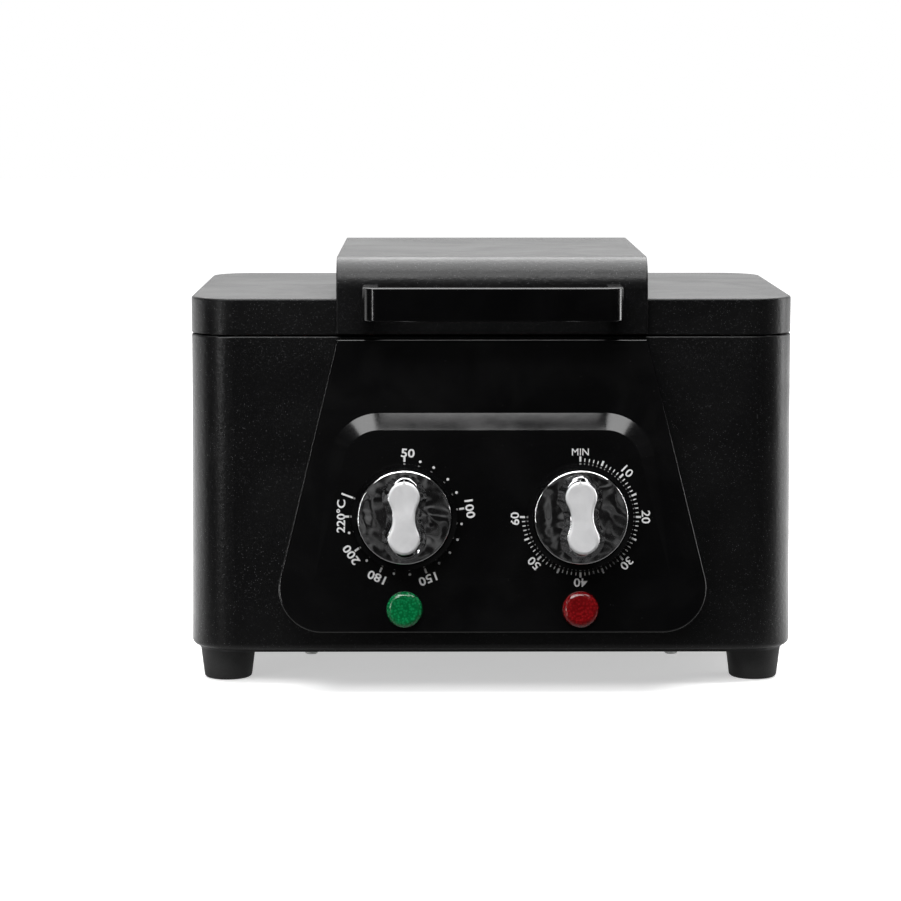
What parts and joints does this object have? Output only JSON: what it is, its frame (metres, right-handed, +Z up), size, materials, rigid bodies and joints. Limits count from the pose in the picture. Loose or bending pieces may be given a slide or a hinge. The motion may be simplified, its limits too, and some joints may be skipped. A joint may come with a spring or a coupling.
{
  "type": "dry heat sterilizer",
  "caption": "Bench-top dry heat sterilizer: a boxy body with a hinged lid and bar handle over a steel chamber with a lift-out tray, and a leaning panel with temperature and timer knobs.",
  "frame": {"origin": "on the bench, under the middle of the whole outline", "axes": "+Z up, +X to the right of the control panel, which faces -Y"},
  "size_m": [0.261, 0.2138, 0.1848],
  "materials": {
    "speckled_paint": "satin powder coat with fine sparkle",
    "base_paint": "satin",
    "foot_rubber": "matte",
    "zinc_steel": "plated",
    "stainless": "fine brushed",
    "heater_face": "matte",
    "glass_wool": "felted",
    "gloss_black": "polished",
    "inner_plastic": "moulded",
    "bell_metal": "plated",
    "copper": "drawn tube",
    "green_lens": "translucent",
    "red_lens": "translucent",
    "black_nylon": "moulded",
    "terminal_plastic": "moulded",
    "hinge_steel": "satin",
    "seal_silicone": "matte",
    "knob_black": "polished",
    "knob_chrome": "mirror"
  },
  "bodies": {
    "body": {"housing_shell": "speckled_paint", "base_plate": "base_paint", "foot_front_left": "foot_rubber", "foot_front_right": "foot_rubber", "foot_rear_left": "foot_rubber", "foot_rear_right": "foot_rubber", "foot_screws": "zinc_steel", "foot_nuts": "zinc_steel", "base_screws": "zinc_steel", "chamber": "stainless", "chamber_screws": "zinc_steel", "instrument_tray": "stainless", "heater_plate": "heater_face", "heater_clamp": "zinc_steel", "heater_studs": "zinc_steel", "insulation_jacket": "glass_wool", "control_panel": "gloss_black", "panel_screws": "zinc_steel", "thermostat_case": "inner_plastic", "timer_case": "zinc_steel", "timer_bell": "bell_metal", "dial_screws": "zinc_steel", "sensing_bulb": "copper", "bulb_clips": "zinc_steel", "green_lens": "green_lens", "red_lens": "red_lens", "lamp_nuts": "inner_plastic", "cord_gland": "black_nylon", "gland_nut": "black_nylon", "terminal_block": "terminal_plastic", "terminal_screws": "zinc_steel", "body_hinge_leaf_left": "hinge_steel", "body_hinge_leaf_right": "hinge_steel", "hinge_pin_left": "hinge_steel", "hinge_pin_right": "hinge_steel", "body_hinge_screws": "zinc_steel"},
    "lid": {"lid_shell": "speckled_paint", "lid_band": "speckled_paint", "band_screws": "zinc_steel", "lid_handle": "gloss_black", "handle_screws": "zinc_steel", "lid_liner": "stainless", "liner_screws": "zinc_steel", "lid_insulation": "glass_wool", "lid_seal": "seal_silicone", "lid_hinge_leaf_left": "hinge_steel", "lid_hinge_leaf_right": "hinge_steel", "lid_hinge_screws": "zinc_steel"},
    "temperature_knob": {"temperature_knob_skirt": "knob_black", "temperature_knob_cap": "knob_chrome", "thermostat_shaft": "zinc_steel"},
    "timer_knob": {"timer_knob_skirt": "knob_black", "timer_knob_cap": "knob_chrome", "timer_shaft": "zinc_steel"}
  },
  "joints": [
    {"name": "lid_hinge", "type": "hinge", "parent": "body", "child": "lid", "pos_m": [0, 0.10093, 0.1514], "axis": [-1, 0, 0], "range_deg": [0, 100]},
    {"name": "temperature_knob_turn", "type": "hinge", "parent": "body", "child": "temperature_knob", "pos_m": [-0.0373, -0.08617, 0.0757], "axis": [0, 0.9936, -0.1132], "range_deg": [0, 290]},
    {"name": "timer_knob_turn", "type": "hinge", "parent": "body", "child": "timer_knob", "pos_m": [0.0373, -0.08617, 0.0757], "axis": [0, 0.9936, -0.1132], "range_deg": [0, 273.4]}
  ]
}
